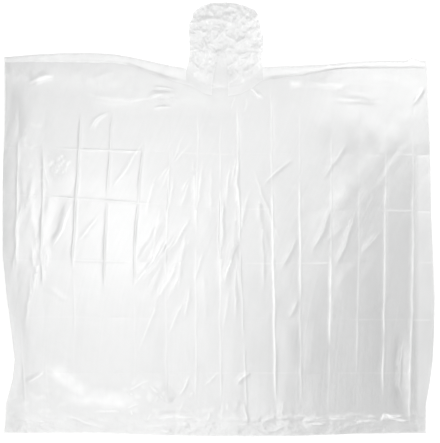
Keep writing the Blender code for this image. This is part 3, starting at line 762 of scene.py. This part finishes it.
def makeFront():
    x, drop = bodyGrid(downCreases, frontPanel, frontTop, edgeInset)
    downLines, crossLines = creaseLift(downCreases, frontPanel, x, drop)
    creases = np.maximum(downLines, crossLines)
    crests = list(frontFolds)
    for row in looseStrands:
        crests += strands(*row)
    bend, wander, run = frontPanel["bend"], frontPanel["crumpleWander"], frontPanel["crumpleRun"]
    bentX = x + bend * lumps("bend", x, drop) + frontPanel["fineBend"] * lumps("fineBend", x, drop)
    bentDrop = drop + bend * lumps("dropBend", x, drop)
    folds = frontPanel["foldShare"] * strongest(crests, bentX, bentDrop)
    folds = np.maximum(folds, strongest(frontFacets, bentX, bentDrop))
    hemLine, yokeLine = wander * lumps("hemLine", x, drop), wander * lumps("yokeLine", x, drop)
    hemShare = smooth((drop - frontPanel["hemCrumple"]["drop"] + hemLine) / run)
    yokeShare = smooth((frontPanel["yokeCrumple"]["drop"] - drop + yokeLine) / run)
    folds = folds + crumpled("hemCrumple", hemShare, x, drop)
    folds = folds + crumpled("yokeCrumple", yokeShare, x, drop)
    sway = frontPanel["sway"] * lumps("sway", x, drop) + frontPanel["fineSway"] * lumps("fineSway", x, drop)
    left, right = readPair(garment["sides"], drop)
    side = np.minimum(x - left, right - x)
    underSeam = drop - readOff(garment["top"], x, 2) + frontPanel["underSeam"]
    lift = (frontPanel["creaseShare"] - frontPanel["rightLoss"] * ramp(60.0, 120.0, x)) * creases + folds
    lift = lift * smooth(underSeam / frontPanel["creaseRun"])
    loose = frontPanel["puff"] * np.maximum(panelPuff(downCreases, x, drop), 0.0) + sway
    loose = loose + frontPanel["billow"] * smooth(side / frontPanel["billowRun"]) - frontPanel["settle"]
    lift = lift + loose * smooth(underSeam / frontPanel["looseRun"])
    height = frontPanel["base"] + np.maximum(lift, frontPanel["least"])
    hemGap = readOff(garment["hem"], x, 1) - drop
    ridge = frontPanel["hemRidge"]
    ridgeDrop = ridge["above"] + ridge["wander"] * lumps("ridgeLine", x, 0.0 * drop)
    hemRidge = crestProfile((hemGap - ridgeDrop) / ridge["halfWidth"])
    hemRidge = hemRidge * np.clip(0.5 + lumps("ridgeBreaks", x, drop), 0.0, 1.4)
    height = height + (ridge["rise"] + ridge["rightRise"] * ramp(-20.0, 180.0, x)) * hemRidge
    crushed = np.maximum(hemShare, 0.5 * yokeShare)
    for patch in crushedPatches:
        crushed = np.maximum(crushed, inPatch(patch, 1.3, x, drop))
    # painted shade, and painted highlights from the glints
    shade = frontShade(x, drop, hemGap, downLines, crossLines)
    shade = np.maximum(shade, strongest(frontDims, bentX, bentDrop))
    paintedHighlight = frontHighlights(x, drop, hemGap, strongest(frontGlints, bentX, bentDrop))
    # the creases' pale mark is partly a painted highlight, so it is weaker on the left, where they carry
    # painted shade
    leftward = fade(-60.0, 120.0, x)
    creaseMark = np.clip(creases / frontTones["fullCrease"], 0.0, 1.0)
    creaseMark = creaseMark * (1.0 - frontTones["leftCreaseLoss"] * leftward)
    marks = {"crease": creaseMark, "crushed": crushed, "shade": shade, "paintedHighlight": paintedHighlight}
    marks.update(crestMarks(crests, bentX, bentDrop))
    film = layFilm("front_film", x, drop, height, marks)
    dress(film, filmMaterial("clearFilm", filmLook), "front_panel")


backPanel = {
    "base": 0.45,
    "creaseHalfWidth": 5.0,
    "creaseLines": (2.2, 5.5),
    "columnParts": (3,) + 14 * (5,) + (3,),
    "rowParts": (3, 10, 10, 12, 12, 12, 12, 12, 5),
    "creaseShare": 0.4,
    "fullCrease": 0.5,
    "sway": 0.2,
    "highest": 0.8,
    "neckShade": 0.6,
}
# the back's creases lie a little aside of the front's
backCreases = tuple((top + 9, middle + 6, hem - 4) for top, middle, hem in downCreases)
backLook = dict(filmLook, haze=0.30, shadeColour=(0.427, 0.43, 0.43, 1.0), shadeHaze=0.4, coat=0.9)


def makeBack():
    x, drop = bodyGrid(backCreases, backPanel, backTop, lambda place: 0.0 * place)
    creases = backPanel["creaseShare"] * creaseLift(backCreases, backPanel, x, drop).max(axis=0)
    sway = backPanel["sway"] * softNoise(x, drop, 90.0, 71)
    height = backPanel["base"] + np.clip(creases + sway, 0.0, backPanel["highest"])
    # painted shade in the neck, seen through the face opening
    inNeck = fade(70.0, 12.0, drop) * ramp(-40.0, 16.0, x) * fade(52.0, 16.0, x)
    creaseMark = np.clip(creases / backPanel["fullCrease"], 0.0, 1.0)
    marks = {"crease": creaseMark, "shade": backPanel["neckShade"] * inNeck}
    film = layFilm("back_film", x, drop, height, marks)
    dress(film, filmMaterial("backFilm", backLook), "back_panel")


seamStrip = {
    "base": 3.1,
    "columns": 190,
    "rows": 10,
    "roll": 0.7,
    "ends": {"left": (-581.4, -86.5), "right": (121.8, 563.4)},
    "inset": 0.8,
    "lumps": 0.35,
    "crumple": 0.25,
    "settle": 0.2,
    "weldShadowStart": 0.6,  # the weld's shade comes in over this share of the strip's width
    "weldShadowRun": 0.2,
}
# the strip's dark shade colour is the painted shadow along its weld line
seamLook = dict(
    filmLook, colour=(0.937, 0.94, 0.94, 1.0), haze=0.44, streak=0.2, dent=0.6,
    shadeColour=(0.10, 0.10, 0.10, 1.0), shadeHaze=0.42,
)
# x and how dark the painted shadow along the shoulder's weld line shows
weldShadowStrengths = (
    (-590, 0.25), (-330, 0.3), (-250, 0.6), (-215, 0.8), (-92, 0.65), (126, 0.35), (150, 0.55), (370, 0.5),
    (430, 0.2), (570, 0.15),
)


def makeSeam(side):
    start, end = seamStrip["ends"][side]
    share = np.linspace(0.0, 1.0, seamStrip["rows"] + 1)[:, None]
    across = np.linspace(start, end, seamStrip["columns"] + 1)[None, :]
    x = np.broadcast_to(across, (share.size, across.size)) + 0.0
    upper, lower = backTop(x)
    upper = upper + seamStrip["inset"]
    drop = upper + (lower - upper) * share
    height = seamStrip["base"] + seamStrip["roll"] * np.sin(math.pi * share) ** 0.6
    height = height + seamStrip["lumps"] * softNoise(x, drop, 26.0, 81)
    height = height + seamStrip["crumple"] * crumple(x, drop, 18.0, 82) - seamStrip["settle"]
    # the weld line's dark is painted shadow under the strip's lower edge, along the heat seal
    weldShadow = ramp(seamStrip["weldShadowStart"], seamStrip["weldShadowRun"], share) * readOff(weldShadowStrengths, x, 1)
    weldShadow = weldShadow * (0.9 + 0.3 * softNoise(x, drop * 0.0, 60.0, 83))
    film = layFilm("shoulder_film_" + side, x, drop, height, {"shade": np.clip(weldShadow, 0.0, 1.0)})
    dress(film, filmMaterial("seamFilm_" + side, seamLook), "shoulder_seam_" + side)


hood = {
    "base": 2.1,
    "step": 1.7,
    "puff": 3.0,
    "crumple": 1.6,
    "middle": 18.0,
    "halfWidth": 104.0,
    # drop, left edge, right edge
    "sides": (
        (-136, -70, 108), (-126, -68, 109), (-115, -79, 115), (-82, -79, 123),
        (-38, -76, 123), (-16, -79, 117), (11, -85, 122), (60, -87, 121),
    ),
    # x, upper edge
    "crown": (
        (-80, -126), (-70, -136), (-60, -147), (-44, -158), (-20, -165), (22, -167),
        (50, -165), (74, -158), (100, -147), (108, -136), (116, -122),
    ),
    # drop, left edge, right edge
    "face": ((-167, 14, 14), (-40, 14, 14), (-25, 2, 22), (0, -7, 26), (38, -16, 27), (95, -18, 27)),
    "top": -167.0,
    "crownFoot": -136.0,
    "foot": 60.0,
    "coarse": (0.72, 42.0, 91),  # share, size and seed of the crumple's two grains
    "fine": (0.38, 18.0, 95),
    "meanCrumple": 0.45,
    "foldShare": 0.25,
    "lap": 1.2,  # how much the foot stands up over the front
    "least": -0.4,
    "crestShare": 0.3,
    # crumple crests get a painted highlight and hollows painted shade; the lap gets a pale painted highlight
    "paintedHighlight": {"from": 0.72, "gain": 0.8, "most": 0.3},
    "hollow": {"from": 0.50, "gain": 0.5, "most": 0.15},
    "lapHighlight": 0.12,
}
hoodFolds = (
    (-56, -117, 18, -119, 3, 13, 5), (27, -146, 29, -98, 0, 11, 5), (-42, -74, -34, -2, 3, 13, 5),
    (106, -64, 112, 8, 2, 13, 5), (56, -140, 90, -100, 3, 13, 4), (-20, -20, -34, 20, 2, 11, 4),
    (-70, -94, -24, -78, 2, 11, 4), (-14, -56, 24, -96, 2, 12, 5), (42, -46, 82, -74, 2, 11, 4),
    (62, -36, 44, 10, 2, 13, 4), (85, -104, 102, -52, 2, 12, 5), (-36, -156, -8, -126, 2, 11, 4),
    (-72, -42, -58, 4, 2, 10, 3),
)
hoodLook = dict(
    filmLook, colour=(0.657, 0.66, 0.66, 1.0), shadeColour=(0.427, 0.43, 0.43, 1.0),
    haze=0.46, cloud=0.1, streak=0.2, dent=1.3, bump=0.0012,
)
hoodBackLook = dict(hoodLook, haze=0.30, shadeHaze=0.4)


def makeHoodFront(side):
    rows = round((hood["foot"] - hood["top"]) / hood["step"])
    columns = round(hood["halfWidth"] / hood["step"])
    down = np.linspace(0.0, 1.0, rows + 1)[:, None]
    level = hood["crownFoot"] + (hood["foot"] - hood["crownFoot"]) * down
    sideColumn = 1 if side == "left" else 2
    outer = readOff(hood["sides"], level, sideColumn)
    inner = readOff(hood["face"], level, sideColumn)
    left, right = (outer, inner) if side == "left" else (inner, outer)
    x = left + (right - left) * np.linspace(0.0, 1.0, columns + 1)[None, :]
    crown = readOff(hood["crown"], x, 1)
    drop = crown + (readOff(garment["top"], x, 2) - crown) * down
    lift = strongest(hoodFolds, x, drop)
    coarseShare, *coarse = hood["coarse"]
    fineShare, *fine = hood["fine"]
    rough = coarseShare * crumple(x, drop, *coarse) + fineShare * crumple(x, drop, *fine)
    puff = hood["puff"] * np.clip(1.0 - ((x - hood["middle"]) / hood["halfWidth"]) ** 2, 0.0, 1.0)
    aboveNeck = readOff(garment["top"], x, 1) - drop
    calm = ramp(2.0, 40.0, aboveNeck)
    lap = hood["lap"] * fade(46.0, 22.0, aboveNeck)
    crumpling = hood["crumple"] * (rough - hood["meanCrumple"])
    height = hood["base"] + lap + (hood["foldShare"] * lift + puff + crumpling) * calm
    height = np.maximum(height, hood["base"] + lap + hood["least"])
    # painted highlights on the crumple's crests and along the lap, palest below the face; painted shade in
    # the hollows
    paintedHighlight, hollow = hood["paintedHighlight"], hood["hollow"]
    crumpleHighlight = np.clip(paintedHighlight["gain"] * (rough - paintedHighlight["from"]), 0.0, paintedHighlight["most"])
    hollowShade = np.clip(hollow["gain"] * (hollow["from"] - rough), 0.0, hollow["most"]) * calm
    lapped = smooth(0.5 - aboveNeck / 5.0)
    smile = ramp(-60.0, 40.0, x) * fade(86.0, 40.0, x)  # the lap is palest below the face
    lapHighlight = hood["lapHighlight"] + hood["lapHighlight"] * smile
    marks = {"paintedHighlight": np.maximum(crumpleHighlight * (1.0 - lapped), lapHighlight * lapped), "shade": hollowShade}
    marks.update(crestMarks(hoodFolds, x, drop))
    marks["crestRise"] = hood["crestShare"] * marks["crestRise"]
    film = layFilm("hood_film_" + side, x, drop, height, marks)
    dress(film, filmMaterial("hoodFilm_" + side, hoodLook), "hood_front_" + side)


hoodBack = {
    "base": 0.45,
    "rows": 70,
    "columns": 80,
    "crumple": 0.7,
    "paintedHighlight": 0.15,
    "faceShade": 0.6,  # seen through the face opening
}


def makeHoodBack():
    neckDrop = readOff(garment["top"], garment["neck"], 1)
    down = np.linspace(0.0, 1.0, hoodBack["rows"] + 1)[:, None]
    level = hood["crownFoot"] + (neckDrop.mean() - hood["crownFoot"]) * down
    left, right = readPair(hood["sides"], level)
    x = left + (right - left) * np.linspace(0.0, 1.0, hoodBack["columns"] + 1)[None, :]
    crown = readOff(hood["crown"], x, 1)
    neckLine = np.interp(x, garment["neck"], neckDrop)
    drop = crown + (neckLine - crown) * down
    calm = fade(neckLine, 30.0, drop)
    height = hoodBack["base"] + hoodBack["crumple"] * crumple(x, drop, 30.0, 97) * calm
    opening = ramp(-48.0, 16.0, drop) * ramp(-12.0, 10.0, x) * fade(32.0, 10.0, x)
    # painted highlights on the crumple's crests, and painted shade seen through the face opening
    crumpleHighlight = hoodBack["paintedHighlight"] * calm * crumple(x, drop, 40.0, 98)
    marks = {"paintedHighlight": crumpleHighlight, "shade": hoodBack["faceShade"] * opening}
    film = layFilm("hood_back_film", x, drop, height, marks)
    dress(film, filmMaterial("hoodBackFilm", hoodBackLook), "hood_back")


floorLook = {
    "size": 30.0, "level": -0.0003, "colour": (0.94, 0.94, 0.94, 1.0), "roughness": 0.9, "gloss": 0.1,
}


def makeFloor():
    bpy.ops.object.select_all(action="DESELECT")
    bpy.ops.mesh.primitive_plane_add(size=floorLook["size"], location=(0.0, 0.0, floorLook["level"]))
    floor = bpy.context.object
    floor.name = "floor"
    material = bpy.data.materials.new("paleFloor")
    material.use_nodes = True
    shader = material.node_tree.nodes["Principled BSDF"]
    shader.inputs["Base Color"].default_value = floorLook["colour"]
    shader.inputs["Roughness"].default_value = floorLook["roughness"]
    shader.inputs["Specular IOR Level"].default_value = floorLook["gloss"]
    floor.data.materials.append(material)
    print("floor")


# the camera looks straight down: its height, its place and the frame's height on the floor
view = {"height": 3.0, "across": 5.5, "down": 4.4, "frameHeight": 1209.4, "sensor": 36.0}


def makeCamera():
    data = bpy.data.cameras.new("camera")
    camera = bpy.data.objects.new("camera", data)
    bpy.context.scene.collection.objects.link(camera)
    camera.location = (view["across"] * mm, -view["down"] * mm, view["height"])
    data.sensor_fit = "VERTICAL"
    data.sensor_height = view["sensor"]
    data.lens = view["sensor"] * view["height"] / (view["frameHeight"] * mm)
    bpy.context.scene.camera = camera
    print("camera:", round(data.lens, 1), "mm")


# name, place, size, turn in degrees, watts
lights = (
    ("leftSoftbox", (-0.5, -0.6, 3.0), (1.84, 3.7), -12.0, 83.4),
    ("rightSoftbox", (1.15, 0.95, 3.0), (0.95, 0.9), -20.0, 21.8),
    ("nearSoftbox", (-0.53, -0.05, 2.9), (0.46, 0.62), 0.0, 4.2),
)
room = {"colour": (1.0, 1.0, 1.0, 1.0), "strength": 0.39}


def makeLights():
    for name, place, size, turn, watts in lights:
        data = bpy.data.lights.new(name, "AREA")
        data.shape = "RECTANGLE"
        data.size, data.size_y = size
        data.energy = watts
        light = bpy.data.objects.new(name, data)
        bpy.context.scene.collection.objects.link(light)
        light.location = place
        light.rotation_euler.z = math.radians(turn)
    world = bpy.context.scene.world or bpy.data.worlds.new("room")
    bpy.context.scene.world = world
    world.use_nodes = True
    background = world.node_tree.nodes["Background"]
    background.inputs["Color"].default_value = room["colour"]
    background.inputs["Strength"].default_value = room["strength"]
    bpy.context.scene.view_settings.view_transform = "Standard"
    print("lights:", len(lights))


makeCamera()
makeLights()
makeFloor()
makeBack()
makeFront()
makeSeam("left")
makeSeam("right")
makeHoodBack()
makeHoodFront("left")
makeHoodFront("right")
